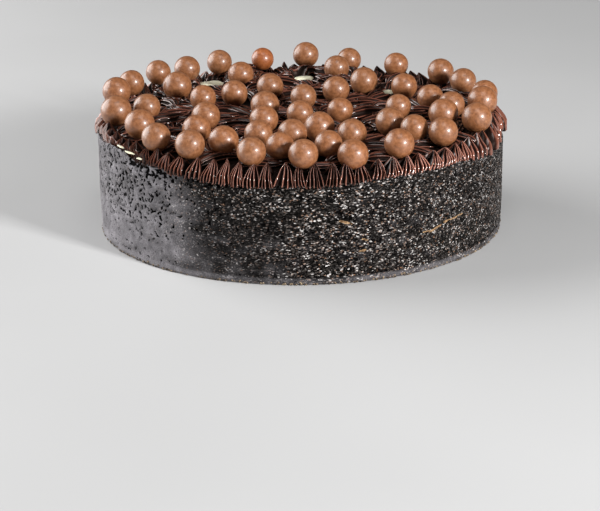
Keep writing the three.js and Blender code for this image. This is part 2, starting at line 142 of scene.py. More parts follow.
# How the border sits on the rim, by angle from +X: how far its foot reaches past the
# crumb, how far it hangs below the rim, how far its peaks lean along the rim, and how
# far the crumb's own rim stands above or below its usual height.
RIM_FIT = [
    (-180, 1.8, 1.2, 0, 0), (-174, 1.2, 0, 0, 0), (-166, -2.5, 0, 0, 0), (-162, -2.5, 0, 0, 0),
    (-156, -2.5, 0, 0, 3.2), (-148, -2.5, 0, 0, 3.6), (-141, -2.5, 0, 0, 0), (-131, 1.2, 0, 0, 0),
    (-122, 2, 1.8, 0, 0), (-106, 2.6, 3.6, 0, 0), (-86, 2.2, 2.8, 0.5, 0), (-68, 1.4, 0.3, 1, 0),
    (-46, 1.6, 0.3, 3, 0), (-26, 3.0, 4.0, 6, 0), (-9, -0.8, 0, 5, -5.6), (4, 3.6, 6.4, 4, -6),
    (30, 2.6, 1.8, 2, 0), (70, 2.4, 1.2, 1, 0), (130, 2.6, 2.0, 0, 0),
]

# The profile of a border shell from under its foot, over its peak, to its inner base:
# radius, height above the rim, half width, droop of the sides, depth of the ridges, then
# how far the row follows the reach, the hang, the height of the peak, and the lean.
SHELL_PROFILE = [
    (124.4, 0.0, 4.2, 0.6, 0.5, 0.0, 1.0, 0, 0), (125.6, -0.2, 5.2, 0.8, 1.5, 0.8, 1.0, 0, 0),
    (126.0, 1.1, 5.5, 1.1, 2.3, 1.0, 1.0, 0, 0), (125.8, 3.3, 4.8, 1.3, 2.6, 0.85, 0.25, 0, 0.1),
    (124.3, 6.0, 3.5, 1.3, 2.3, 0.2, 0, 0, 0.4), (122.0, 8.3, 1.9, 0.9, 1.5, 0, 0, 0.5, 0.8),
    (119.9, 9.8, 0.35, 0.3, 0.3, 0, 0, 1.0, 1.0), (118.6, 8.4, 1.3, 0.9, 0.9, 0, 0, 0.6, 0.8),
    (117.0, 6.2, 2.5, 1.6, 1.5, 0, 0, 0, 0.5), (115.2, 3.4, 3.5, 2.2, 1.6, 0, 0, 0, 0.3),
]
SHELL_ROWS = 26
SHELL_GAP_STEPS = 6  # mesh steps from one ridge to the next
SHELL_ROUNDNESS = 0.85  # of the ridges, see ridge_section
SHELL_INSIDE = (118.0, 1.5)  # radius and height of the point that closes a shell
SHELL_TWIST = 4.2
RIDGE_JITTER = 0.22
RIDGE_WIGGLE = 1.0
TOE_SPREAD = 1.5  # how unevenly the ridges end at the foot

# Where the shells are leafy, with few broad ridges, and where they are sharper, their ridges
# painted darker as shade; given as pairs like those of the wall
LEAFY_FRONT = (-48, -30)
LEAFY_BACK = (40, 20)
SHARPER_TURN = (-112, -145)

# The view in which the places below are read: a level 600 by 511 frame
VIEW_WIDTH = 600
VIEW_HEIGHT = 511
VIEW_CENTRE = 301.6  # where the view's axis meets the frame, across
VIEW_FOCAL = 2124.0  # pixels
VIEW_PLACE = Vector((0.0, -1276.0, 412.0))
VIEW_PITCH = math.radians(18.88)
VIEW_ROLL = math.radians(-0.55)
SENSOR_WIDTH = 36.0

# Piped strokes as seen: middle across and down in pixels, then the heading in plan in
# degrees from +X, and the length, the width, the height and the sideways bend in mm
STROKES_SEEN = [
    (171, 119, 22, 30, 17.5, 5.8, 4), (167, 103, -40, 19, 14.5, 4.8, 4),
    (153, 92, -50, 23, 14.5, 4.8, 2), (136, 100, 60, 21, 14.5, 4.8, -3),
    (196, 87, -62, 21, 14.5, 4.8, 2), (206, 80, 84, 20, 16.5, 5.3, 1),
    (228, 88, 42, 21, 12.5, 4.8, 3), (222, 99, -14, 25, 15.5, 4.8, 3),
    (231, 112, -18, 31, 16.5, 5.3, 5), (236, 123, 6, 29, 15.5, 5.3, 4),
    (249, 94, -58, 25, 15.5, 4.8, 2), (266, 79, 46, 33, 17.5, 5.8, 4),
    (280, 71, -52, 19, 13.5, 5.3, 2), (300, 75, 4, 37, 17.5, 5.8, -5),
    (306, 67, 12, 25, 18.5, 6.3, 3), (290, 93, 48, 27, 13.5, 5.3, 4),
    (314, 88, 38, 23, 14.5, 4.8, 2), (322, 107, 66, 21, 15.5, 4.8, -3),
    (286, 114, 8, 25, 15.5, 4.8, 3), (333, 124, -30, 19, 13.5, 4.8, 2),
    (356, 99, 20, 23, 16.5, 5.3, 4), (368, 112, 14, 33, 17.5, 5.8, 5),
    (376, 101, -12, 29, 14.5, 4.8, -3), (384, 87, 44, 27, 16.5, 5.3, 3),
    (380, 75, 80, 21, 14.5, 5.3, 2), (416, 79, -58, 21, 14.5, 5.3, 2),
    (424, 90, 40, 21, 14.5, 4.8, 2), (447, 89, 70, 21, 14.5, 4.8, 2),
    (419, 115, 24, 27, 15.5, 4.8, 4), (377, 152, 6, 29, 17.5, 5.3, 5),
    (373, 139, 28, 25, 15.5, 4.8, 3), (375, 127, -40, 23, 14.5, 4.3, 3),
    (425, 143, 10, 23, 15.5, 4.3, 2), (177, 133, 12, 21, 14.5, 4.8, 4),
    (219, 156, 8, 33, 15.5, 4.3, 3), (461, 125, 60, 19, 13.5, 4.8, 2),
]
SEEN_NARROWING = 0.74  # a solid stroke is wider than the rope it stands for
SEEN_RISE = 1.2
HEADING_STRETCH = 1.9  # the ropes run more away from the viewer than their solids
STROKE_STATIONS = 16
STROKE_GAP_STEPS = 5
STROKE_RIDGES = 5
STROKE_RIDGE_DEPTH = 1.7
# The strokes' ridges are painted a little darker than the border's, as shade
STROKE_CREST_LIGHT = 0.9
STROKE_WAVE = 1.9
STROKE_TIP_LIFT = 1.3
FILLER_COUNT = 300
FILLER_RADIUS = 111.0
FILLER_SPACING = 7.2
BACK_FROM = 55.0  # the strokes behind this line are piled higher
BACK_RISE = 1.3

# Bare places as seen: middle in pixels, then width across the view and depth along it
BARE_PLACES_SEEN = [(212, 86, 14, 12), (304, 81, 12, 10), (388, 94.5, 7, 8)]
BARE_RISE = 1.5  # of the height at which their middles are read
BARE_SWELL = 3.9  # how far the filling swells up in a bare place
BARE_LIP = 1.9  # how far the ganache's near edge lies below that
BARE_SLOPE = 0.31  # of the ganache down to a bare place's near side
BARE_VIEW = 27.0  # how far in front of a bare place the ganache is low
BARE_WALL = 9.0  # how high the ganache may stand beside and behind it

# Smears of filling on the rim as seen: middle in pixels, and length along the rim in mm
SMEARS_SEEN = [
    (119, 146.8, 9), (128, 151.6, 10), (138, 158.6, 5), (190, 172.5, 5), (437, 161, 6),
    (466, 155, 4),
]
SMEAR_HALF_WIDTH = 1.1
SMEAR_THICKNESS = 0.36
SMEAR_CLIMB = 2.4  # how far above the rim a smear may cling to the border

# Cracks in the crumb that show paler, as seen: both ends in pixels, and width in mm
CRACKS_SEEN = [
    ((419, 232), (431, 231), 0.30), ((431, 231), (441, 225), 0.42), ((444, 222), (454, 218), 0.40),
    ((454, 218), (463, 213), 0.30), ((340, 221), (352, 224), 0.40), ((363, 239), (368, 240), 0.45),
    ((360, 251), (366, 250), 0.40),
]

FOOT_CRUMBS = 760
REDDER_BALL = 9  # the one whose coating is more orange
BALL_DENT = 0.014  # of the radius, as the next is too
BALL_GRAIN = 0.004

# Soft boxes: name, direction from the cake, distance, width and height in m, power
LIGHTS = [
    ("left_box", (-1.0, 0.30, 0.36), 1.6, 1.8, 1.5, 58),
    ("right_box", (0.66, -0.71, 0.34), 1.9, 0.28, 0.28, 56),
    ("top_box", (0.1, -0.35, 1.0), 1.8, 0.9, 0.9, 9),
]
FLOOR_HALF_SIZE = 4.0  # metres


def scatter(index):
    """A value from 0 to 1 that looks random and is the same each time for the same index"""
    wave = math.sin(index * 12.9898 + 4.1414) * 43758.5453
    return wave - math.floor(wave)


def smoothstep(low, high, value):
    part = np.clip((np.asarray(value, float) - low) / (high - low), 0.0, 1.0)
    return part * part * (3.0 - 2.0 * part)


def perlin(points, size, seed=0.0):
    """Smooth noise, about -1 to 1, at each point; size is the width of its blobs in mm"""
    shift = Vector((seed * 7.31, seed * 3.17, seed * 5.73))
    return np.array([noise.noise(Vector(point) / size + shift) for point in points])


def nearest_cell(points, size):
    """How far each point is from the middle of its nearest cell, in cell sizes"""
    return np.array([noise.voronoi(Vector(point) / size)[0][0] for point in points])


def filling_top(radius):
    slope = (FILLING_RADIUS - np.asarray(radius, float)) / (FILLING_RADIUS - CROWN_RADIUS)
    return CAKE_HEIGHT + FILLING_CROWN * np.clip(slope, 0.0, 1.0)


def spread_top(radius):
    return filling_top(radius) + GAP + SPREAD_THICKNESS


def view_axes():
    """Right, up and forward of the view, with its roll"""
    forward = Vector((0.0, math.cos(VIEW_PITCH), -math.sin(VIEW_PITCH)))
    level = Vector((1.0, 0.0, 0.0))
    level_up = level.cross(forward)
    right = math.cos(VIEW_ROLL) * level + math.sin(VIEW_ROLL) * level_up
    up = -math.sin(VIEW_ROLL) * level + math.cos(VIEW_ROLL) * level_up
    return right, up, forward


def sight_line(across, down):
    right, up, forward = view_axes()
    return (forward + right * ((across - VIEW_CENTRE) / VIEW_FOCAL)
            + up * ((VIEW_HEIGHT / 2 - down) / VIEW_FOCAL))


def place_at_height(across, down, height):
    """Where the sight line through a pixel meets a height, in mm"""
    line = sight_line(across, down)
    return VIEW_PLACE + line * ((height - VIEW_PLACE.z) / line.z)


def round_points(radius, turn, height):
    """Points from a radius, a turn from +X in radians and a height, numbers or arrays"""
    radius, turn, height = np.broadcast_arrays(radius, turn, height)
    return np.stack([radius * np.cos(turn), radius * np.sin(turn), height], -1)


def balls_of_mesh(subdivisions, count, first=0):
    """Points of a round mesh of radius 1, and the faces of a number of them in a row"""
    ball = bmesh.new()
    bmesh.ops.create_icosphere(ball, subdivisions=subdivisions, radius=1.0)
    points = np.array([vertex.co[:] for vertex in ball.verts])
    triangles = np.array([[vertex.index for vertex in face.verts] for face in ball.faces])
    ball.free()
    start = first + len(points) * np.arange(count)[:, None, None]
    return points, (start + triangles).reshape(-1, 3).tolist()


def new_object(name, data):
    thing = bpy.data.objects.new(name, data)
    bpy.context.scene.collection.objects.link(thing)
    return thing


def new_piece(name, points, faces, material, slot, nodes, **fields):
    """A smooth piece from points in mm that takes the place of some nodes. Its faces are
    turned to point out; a field is a value for each point."""
    mesh = bpy.data.meshes.new(name)
    mesh.from_pydata((np.asarray(points, float) * MM).tolist(), [], faces)
    for key, values in fields.items():
        layer = mesh.attributes.new(key, "FLOAT", "POINT")
        layer.data.foreach_set("value", np.asarray(values, np.float32))
    shape = bmesh.new()
    shape.from_mesh(mesh)
    bmesh.ops.recalc_face_normals(shape, faces=shape.faces)
    shape.to_mesh(mesh)
    shape.free()
    mesh.polygons.foreach_set("use_smooth", [True] * len(mesh.polygons))
    mesh.materials.append(material)
    piece = new_object(name, mesh)
    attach(piece, BODY)
    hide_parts(*nodes)


def grid_faces(rows, columns, wraps, first=0):
    """Quads between rows of equal length; each row closes on itself where wraps is true"""
    row = np.arange(rows - 1)[:, None] * columns
    near = np.arange(columns if wraps else columns - 1)[None, :]
    far = (near + 1) % columns
    quads = np.stack([row + near, row + far, row + columns + far, row + columns + near], -1)
    return (quads.reshape(-1, 4) + first).tolist()


def fan_faces(centre, ring):
    return [[centre, ring[i], ring[(i + 1) % len(ring)]] for i in range(len(ring))]


def closed_rings(rings, steps):
    """Faces of rings of points, closed at both ends by fans to the two points that come
    after the rings, the first ring's first"""
    end = rings * steps
    faces = grid_faces(rings, steps, True)
    faces += fan_faces(end, list(range(steps))[::-1])
    return faces + fan_faces(end + 1, list(range(end - steps, end)))


def closed_patch(rows, columns, first):
    """Faces of a patch of rows and columns, closed by a fan to one point inside it"""
    index = first + np.arange(rows * columns).reshape(rows, columns)
    rim = np.concatenate([index[0], index[1:, -1], index[-1, -2::-1], index[-2:0:-1, 0]])
    fan = fan_faces(first + rows * columns, rim[::-1].tolist())
    return grid_faces(rows, columns, False, first) + fan


# ---- materials

def feed(tree, slot, value):
    """Sets a socket to a number, a vector or a colour, or links an output to it"""
    if isinstance(value, bpy.types.NodeSocket):
        tree.links.new(value, slot)
    elif slot.type == "RGBA":
        slot.default_value = (*value, 1.0)
    else:
        slot.default_value = value


def new_node(tree, kind, **inputs):
    node = tree.nodes.new("ShaderNode" + kind)
    for name, value in inputs.items():
        feed(tree, node.inputs[name], value)
    return node


def vector_node(tree, operation, vector, **values):
    """A calculation with a vector; of the values, other is a vector and Scale a number"""
    node = new_node(tree, "VectorMath")
    node.operation = operation
    feed(tree, node.inputs[0], vector)
    for name, value in values.items():
        feed(tree, node.inputs[1 if name == "other" else name], value)
    return node.outputs[0]


def new_material(name):
    """A material with its shader and texture coordinates in mm"""
    material = bpy.data.materials.new(name)
    material.use_nodes = True
    tree = material.node_tree
    shader = tree.nodes["Principled BSDF"]
    place = new_node(tree, "TexCoord").outputs["Object"]
    return material, tree, shader, vector_node(tree, "SCALE", place, Scale=1.0 / MM)


def dress(tree, shader, **outputs):
    """Links outputs to the shader's sockets; a name has _ where the socket's has a space"""
    for name, output in outputs.items():
        tree.links.new(output, shader.inputs[name.replace("_", " ")])


def noise_node(tree, coordinates, size, detail=2.0, roughness=0.5):
    """Noise from 0 to 1; size is the width of its blobs in mm"""
    inputs = {"Vector": coordinates, "Detail": detail, "Roughness": roughness}
    return new_node(tree, "TexNoise", Scale=1.0 / size, **inputs).outputs["Fac"]


def attribute_node(tree, name):
    node = new_node(tree, "Attribute")
    node.attribute_name = name
    return node.outputs["Fac"]


def ramp_node(tree, value, *stops):
    """A colour ramp; a stop is a position and a grey value or a colour"""
    node = new_node(tree, "ValToRGB", Fac=value)
    elements = node.color_ramp.elements
    while len(elements) < len(stops):
        elements.new(0.5)
    for element, (position, colour) in zip(elements, stops):
        element.position = position
        if not isinstance(colour, tuple):
            colour = (colour, colour, colour)
        element.color = (*colour, 1.0)
    return node.outputs["Color"]


def mix_node(tree, share, first, second, blend="MIX"):
    """Mixes two colours, each an output or a colour; share is an output or a number"""
    node = new_node(tree, "Mix")
    node.data_type = "RGBA"
    node.blend_type = blend
    for key, value in (("Factor", share), ("A", first), ("B", second)):
        feed(tree, next(slot for slot in node.inputs if slot.name == key and slot.enabled), value)
    return next(slot for slot in node.outputs if slot.enabled)


def math_node(tree, operation, *values, clamp=False):
    """A calculation with two or three values, each an output or a number"""
    node = new_node(tree, "Math")
    node.operation = operation
    node.use_clamp = clamp
    for slot, value in zip(node.inputs, values):
        feed(tree, slot, value)
    return node.outputs[0]


def bump_node(tree, height, distance, strength, **normal):
    """The normal of a relief whose full height is the distance, in mm"""
    inputs = {"Height": height, "Distance": distance * MM, "Strength": strength}
    return new_node(tree, "Bump", **inputs, **normal).outputs["Normal"]


def facet_normal(tree, cell_colour, tilt):
    """The surface normal, tipped a different way for each cell; tilt is an output"""
    centred = vector_node(tree, "SUBTRACT", cell_colour, other=(0.5, 0.5, 0.5))
    tip = vector_node(tree, "SCALE", centred, Scale=tilt)
    surface = new_node(tree, "NewGeometry").outputs["Normal"]
    return vector_node(tree, "NORMALIZE", vector_node(tree, "ADD", surface, other=tip))


def crumb_material():
    """Near-black pressed crumb: granular, with real facets that glint and pale cells painted as
    glints, or pressed smooth, with a painted grey sheen
    """
    material, tree, shader, place = new_material("crumb")
    press_and_sheen = attribute_node(tree, "press_and_sheen")
    glint_shade = attribute_node(tree, "glint_shade")

    # The crumbs are cells, drawn out along a slant, in clusters of lighter and darker ones; the
    # amber cells are real specks, the grey and white ones are painted glints
    slant, stretch = (0.0, math.radians(24.0), 0.0), (0.56, 1.0, 1.12)
    laid = new_node(tree, "Mapping", Vector=place, Rotation=slant, Scale=stretch).outputs[0]
    crumbs = new_node(tree, "TexVoronoi", Vector=laid, Scale=1.0 / CRUMB_SIZE)
    chance = new_node(tree, "SeparateColor", Color=crumbs.outputs["Color"])
    cluster = math_node(tree, "MULTIPLY_ADD", noise_node(tree, place, 5.0, 3.0), 0.42, -0.205)
    crumb_and_glint_colour = ramp_node(
        tree, math_node(tree, "ADD", chance.outputs[0], cluster, clamp=True),
        (0.0, (0.002, 0.0017, 0.0016)), (0.50, (0.006, 0.005, 0.0045)),
        (0.72, (0.020, 0.017, 0.015)), (0.82, (0.066, 0.056, 0.050)), (0.90, (0.16, 0.146, 0.140)),
        (0.94, (0.17, 0.078, 0.034)), (0.975, (0.48, 0.455, 0.44)),
    )
    # Painted shade: away from the front right the crumbs, glints too, are darkened
    crumb_and_glint_colour = mix_node(tree, glint_shade, crumb_and_glint_colour, (0.009, 0.008, 0.008))

    # Where it was pressed hard it is smooth, and painted grey as a sheen of the light from the left
    grain = noise_node(tree, place, 0.55, 4.0, 0.65)
    pressed_sheen_colour = ramp_node(
        tree, grain, (0.3, (0.100, 0.094, 0.101)), (0.7, (0.33, 0.313, 0.33)),
    )
    colour = mix_node(tree, press_and_sheen, crumb_and_glint_colour, pressed_sheen_colour)
    shade = ramp_node(tree, noise_node(tree, place, 9.0, 3.0), (0.3, 0.55), (0.7, 1.25))
    colour = mix_node(tree, 1.0, colour, shade, "MULTIPLY")

    # Pale cracks, and pits painted black as the shade inside them, each with a ragged edge
    ragged = math_node(tree, "MULTIPLY_ADD", grain, 0.8, -0.42)
    crack = math_node(tree, "ADD", attribute_node(tree, "amber"), ragged)
    crack_colour = ramp_node(
        tree, chance.outputs[1], (0.0, (0.10, 0.045, 0.018)), (1.0, (0.44, 0.29, 0.16)),
    )
    colour = mix_node(tree, ramp_node(tree, crack, (0.48, 0.0), (0.56, 1.0)), colour, crack_colour)
    broken = math_node(tree, "MULTIPLY_ADD", noise_node(tree, place, 1.15, 2.0), 1.9, -0.95)
    pit = math_node(tree, "ADD", attribute_node(tree, "hollow"), broken)
    in_pit = ramp_node(tree, pit, (0.50, 0.0), (0.60, 1.0))
    colour = mix_node(tree, in_pit, colour, (0.0015, 0.0012, 0.0012))

    crumb_gloss = ramp_node(tree, chance.outputs[1], (0.0, 0.12), (0.5, 0.26), (1.0, 0.75))
    pressed_gloss = ramp_node(tree, grain, (0.3, 0.40), (0.7, 0.55))
    gloss = mix_node(tree, press_and_sheen, crumb_gloss, pressed_gloss)
    gloss = mix_node(tree, in_pit, gloss, (1.0, 1.0, 1.0))

    # Each loose crumb is a facet of its own
    loose = math_node(tree, "SUBTRACT", 1.0, press_and_sheen, clamp=True)
    tilt = math_node(tree, "MULTIPLY_ADD", loose, 1.0, 0.10)
    facets = facet_normal(tree, crumbs.outputs["Color"], tilt)
    dented = bump_node(tree, math_node(tree, "SUBTRACT", 1.0, in_pit), 0.8, 0.8, Normal=facets)
    normal = bump_node(tree, grain, 0.45, 0.6, Normal=dented)
    dress(tree, shader, Base_Color=colour, Roughness=gloss, Normal=normal)
    shader.inputs["IOR"].default_value = 1.14
    return material


def cheesecake_material():
    """Pale cream filling: soft satin, faintly mottled"""
    material, tree, shader, place = new_material("cheesecake")
    mottle = noise_node(tree, place, 4.0, 3.0)
    colour = ramp_node(tree, mottle, (0.3, (0.86, 0.81, 0.56)), (0.7, (0.97, 0.95, 0.77)))
    gloss = ramp_node(tree, mottle, (0.3, 0.38), (0.7, 0.55))
    normal = bump_node(tree, noise_node(tree, place, 1.6, 3.0), 0.35, 0.6)
    dress(tree, shader, Base_Color=colour, Roughness=gloss, Normal=normal)
    return material


def ganache_material():
    """Dark ganache: reddish brown and coated on the ridges, made lighter there as painted light,
    and painted nearly black in the valleys as their shade
    """
    material, tree, shader, place = new_material("ganache")
    crest = attribute_node(tree, "crest")
    patch = noise_node(tree, place, 14.0, 2.0)
    fine = noise_node(tree, place, 0.9, 3.0)
    # Painted light and shade: light on the ridge tops, nearly black in the valleys
    colour = ramp_node(
        tree, crest,
        (0.0, (0.0015, 0.0007, 0.0006)), (0.45, (0.006, 0.0024, 0.0018)),
        (0.66, (0.028, 0.009, 0.006)), (0.86, (0.16, 0.054, 0.033)), (1.0, (0.50, 0.225, 0.165)),
    )
    shade = ramp_node(tree, patch, (0.3, 0.75), (0.7, 1.25))
    colour = mix_node(tree, 1.0, colour, shade, "MULTIPLY")
    gloss = ramp_node(tree, fine, (0.3, 0.13), (0.7, 0.25))
    in_valley = ramp_node(tree, crest, (0.1, 0.45), (0.6, 0.0))
    gloss = math_node(tree, "ADD", gloss, in_valley)
    normal = bump_node(tree, fine, 0.10, 0.4)
    coat = ramp_node(tree, crest, (0.40, 0.0), (0.80, 1.0))
    dress(tree, shader, Base_Color=colour, Roughness=gloss, Normal=normal, Coat_Weight=coat)
    shader.inputs["IOR"].default_value = 1.30
    shader.inputs["Specular Tint"].default_value = (1.0, 0.70, 0.60, 1.0)
    shader.inputs["Coat Roughness"].default_value = 0.16
    return material


def ball_material():
    """Milk chocolate coating: mottled satin, each ball a little different"""
    material, tree, shader, place = new_material("malt_ball")
    tint = attribute_node(tree, "tint")
    mottle = noise_node(tree, place, 1.9, 5.0, 0.62)
    fleck = noise_node(tree, place, 0.8, 3.0, 0.6)
    colour = ramp_node(
        tree, mottle,
        (0.28, (0.135, 0.047, 0.016)), (0.5, (0.246, 0.096, 0.037)), (0.72, (0.335, 0.147, 0.066)),
    )
    hue = ramp_node(
        tree, tint,
        (0.0, (0.94, 0.95, 0.97)), (0.9, (1.04, 1.0, 0.96)), (1.0, (1.2, 0.90, 0.66)),
    )
    colour = mix_node(tree, 1.0, colour, hue, "MULTIPLY")
    dark = ramp_node(tree, fleck, (0.28, 0.9), (0.40, 0.0))
    colour = mix_node(tree, dark, colour, (0.11, 0.038, 0.015))
    gloss = ramp_node(tree, mottle, (0.3, 0.36), (0.7, 0.50))
    normal = bump_node(tree, fleck, 0.20, 0.55)
    dress(tree, shader, Base_Color=colour, Roughness=gloss, Normal=normal)
    shader.inputs["Coat Weight"].default_value = 0.40
    shader.inputs["Coat Roughness"].default_value = 0.18
    return material


def loose_crumb_material():
    """Loose crumbs: brown to nearly black"""
    material, tree, shader, place = new_material("loose_crumb")
    speck = noise_node(tree, place, 1.4, 2.0)
    colour = ramp_node(
        tree, speck,
        (0.38, (0.02, 0.015, 0.012)), (0.5, (0.10, 0.066, 0.040)), (0.62, (0.32, 0.24, 0.15)),
    )
    gloss = ramp_node(tree, speck, (0.3, 0.5), (0.7, 0.8))
    dress(tree, shader, Base_Color=colour, Roughness=gloss)
    return material


def floor_material():
    """Plain pale floor"""
    material, tree, shader, place = new_material("floor")
    tone = noise_node(tree, place, 300.0, 2.0)
    dress(tree, shader, Base_Color=ramp_node(tree, tone, (0.3, 0.46), (0.7, 0.49)))
    shader.inputs["Roughness"].default_value = 0.7
    return material


# ---- pieces

def ball_places():
    """Name, centre and radius of each malt ball, in mm, from its solid"""
    places = []
    for name in sorted(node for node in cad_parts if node.startswith("malt_ball_")):
        low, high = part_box(name)
        places.append((name, np.array((low + high) / 2) / MM, (high - low).x / 2 / MM))
    return places


BALLS = ball_places()


def pushed_out_of_balls(points):
    """Where a point would lie inside a ball, it lies on the ball instead"""
    for _, centre, radius in BALLS:
        offset = points - centre
        distance = np.maximum(np.linalg.norm(offset, axis=1), 1e-6)
        inside = distance < radius + BALL_CLEARANCE
        scale = (radius + BALL_CLEARANCE) / distance[inside]
        points[inside] = centre + offset[inside] * scale[:, None]
    return points


def kept_in_box(points):
    """No point lies outside the box of the solids"""
    low, high = np.array(cad_low) / MM, np.array(cad_high) / MM
    return np.clip(points, low + BOX_MARGIN, high - BOX_MARGIN)


def malt_balls(material):
    """All malt balls: round, with shallow flats and dents"""
    unit, faces = balls_of_mesh(4, len(BALLS))
    points, tints = [], []
    for index, (_, centre, radius) in enumerate(BALLS):
        wave = BALL_DENT * perlin(unit, 0.9, index) + BALL_GRAIN * perlin(unit, 0.28, index + 60)
        points.append(centre + unit * (radius * (1.0 - BALL_GRAIN + wave))[:, None])
        tint = 1.0 if index == REDDER_BALL else 0.85 * scatter(index + 700)
        tints.append(np.full(len(unit), tint))
    points, tint = np.concatenate(points), np.concatenate(tints)
    nodes = [name for name, _, _ in BALLS]
    new_piece("malt_balls", points, faces, material, "malt_ball", nodes, tint=tint)


def wall_profile():
    """Rows of the crumb case from the foot, up the wall, over the rim and down inside:
    radius, height and how much of the crumb's relief the row has"""
    foot = CAKE_RADIUS - FOOT_TUCK
    inner = CAKE_RADIUS - WALL_THICKNESS
    straight = CAKE_HEIGHT - RIM_ROUND - FOOT_ROUND
    rows = [
        (foot - FOOT_ROUND, 0.0, 0.0), (foot - 0.6 * FOOT_ROUND, 0.15, 0.4),
        (foot - 0.2, 0.7, 0.8),
    ]
    count = round(straight / WALL_ROW_STEP)
    for row in range(count + 1):
        height = FOOT_ROUND + straight * row / count
        tuck = FOOT_TUCK * max(0.0, 1.0 - height / TUCK_HEIGHT)
        rows.append((CAKE_RADIUS - tuck, height, 1.0))
    return rows + [
        (CAKE_RADIUS - 0.3, CAKE_HEIGHT - 0.3, 0.9), (CAKE_RADIUS - RIM_ROUND, CAKE_HEIGHT, 0.8),
        (CAKE_RADIUS - RIM_RIDGE, CAKE_HEIGHT, 0.6), (inner, CAKE_HEIGHT, 0.3),
        (inner, BASE_THICKNESS, 0.0),
    ]


def crumb_fields(flat, degrees, height):
    """How hard each point was pressed, which also paints its grey sheen, how deep it lies in a
    hollow, 0.5 at its edge, and how far its crumbs are darkened as painted shade"""
    turn = np.where(degrees > 0, degrees - 360, degrees)
    left = smoothstep(*PRESSED_SHEEN_FRONT, turn) * smoothstep(*PRESSED_SHEEN_BACK, turn)
    low = smoothstep(*LOW_PRESSED_TURN, turn) * smoothstep(*LOW_PRESSED_HEIGHT, height)
    low *= turn > LOW_PRESSED_END
    foot_band = 0.36 * smoothstep(*FOOT_BAND, height)
    streaks = (0.17 + 0.25 * left) * perlin(flat * (1.0, 1.0, 4.0), 22.0, 3)
    streaks += (0.16 + 0.10 * left) * perlin(flat, 7.0, 4)
    # How hard it was pressed; the same value paints the grey sheen in the material
    press_and_sheen = 0.95 * left + 0.16 * low + foot_band + streaks - 0.08

    # Pits, and more of them where the border shades the wall, as painted shadow
    shaded = smoothstep(*SHADED_DEPTH, CAKE_HEIGHT - height)
    shaded = shaded * smoothstep(*SHADED_LEFT, turn) * smoothstep(*SHADED_RIGHT, turn)
    pits = perlin(flat, 1.75, 2) + 0.22 * perlin(flat, 6.0, 5) + 0.34 * shaded
    pits = pits - 0.22 * (1 - left) - 0.24 * smoothstep(*FEWER_PITS_HEIGHT, height)

    # Short slanted cracks where it was pressed, and the groove near the foot
    arc = np.radians(degrees) * CAKE_RADIUS
    along = CRACK_LEAN[0] * arc - CRACK_LEAN[1] * height
    aside = CRACK_LEAN[1] * arc + CRACK_LEAN[0] * height
    slanted = np.stack([along / CRACK_LENGTH, aside / CRACK_WIDTH, np.full_like(arc, 5.3)], -1)
    crack = smoothstep(0.30, 0.48, perlin(slanted, 1.0, 7))
    crack *= smoothstep(0.0, 0.3, perlin(flat, 8.0, 9))
    hollow = np.maximum(0.5 + 1.7 * (pits - 0.20), 0.85 * crack * left)
    hollow *= smoothstep(*PITS_FROM, height)
    groove = 0.62 * np.exp(-((height - GROOVE_HEIGHT) / GROOVE_WIDTH) ** 2)
    groove *= smoothstep(-0.2, 0.2, perlin(flat, 12.0, 12))
    hollow = np.clip(np.maximum(hollow, groove), 0.0, 1.0)

    # Painted shade over the crumbs, all round but for the front right and the pressed left
    glint_shade = smoothstep(*GLINT_SHADE_TURN, turn) * (1 - left)
    glint_shade *= 0.34 + 0.30 * smoothstep(*GLINT_SHADE_HEIGHT, height)
    return np.clip(press_and_sheen, 0.0, 1.0), hollow, glint_shade


def crumb_case(material):
    """The case, with grains, pits and the smoother places where it was pressed hardest"""
    profile = wall_profile()
    turns = np.linspace(-math.pi, math.pi, WALL_SEGMENTS, endpoint=False)
    radius, height, share = [np.repeat(column, WALL_SEGMENTS) for column in np.array(profile).T]
    turn = np.tile(turns, len(profile))
    flat = round_points(radius, turn, height)
    press_and_sheen, hollow, glint_shade = crumb_fields(flat, np.degrees(turn), height)
    cells = nearest_cell(flat, GRAIN_SIZE)
    depth = smoothstep(0.40, 0.75, hollow)
    grains = (GRAIN_HEIGHT - PRESSED_LOSS * press_and_sheen) * (0.55 - cells)
    relief = 0.25 * perlin(flat, 24.0, 1) + grains - PIT_DEPTH * depth
    outward = round_points(1.0, turn, 0.0)
    points = flat + outward * (share * (relief - WALL_SINK))[:, None]

    # The rim stands up or is sunk where the border's fit says so
    rim_rise = np.tile([rim_fit_at(angle)[3] for angle in np.degrees(turns)], len(profile))
    moves = (rim_rise < 0) & (radius > CAKE_RADIUS - WALL_THICKNESS - 0.1)
    moves |= (rim_rise > 0) & (radius > CAKE_RADIUS - RIM_RIDGE + GAP)
    lift = moves * smoothstep(0.55 * CAKE_HEIGHT, CAKE_HEIGHT - 0.5, height)
    on_rim = height > CAKE_HEIGHT - 0.5
    points[:, 2] += rim_rise * lift + np.where(on_rim, 0.5 * share * (relief - 0.1), 0.0)

    points = np.vstack([points, (0, 0, 0), (0, 0, BASE_THICKNESS)])
    fields = {"press_and_sheen": press_and_sheen, "hollow": hollow, "glint_shade": glint_shade, "amber": amber_places(flat)}
    fields = {name: np.append(values, (0.0, 0.0)) for name, values in fields.items()}
    faces = closed_rings(len(profile), WALL_SEGMENTS)
    new_piece("crumb_wall", points, faces, material, "crumb", ["crumb_case"], **fields)


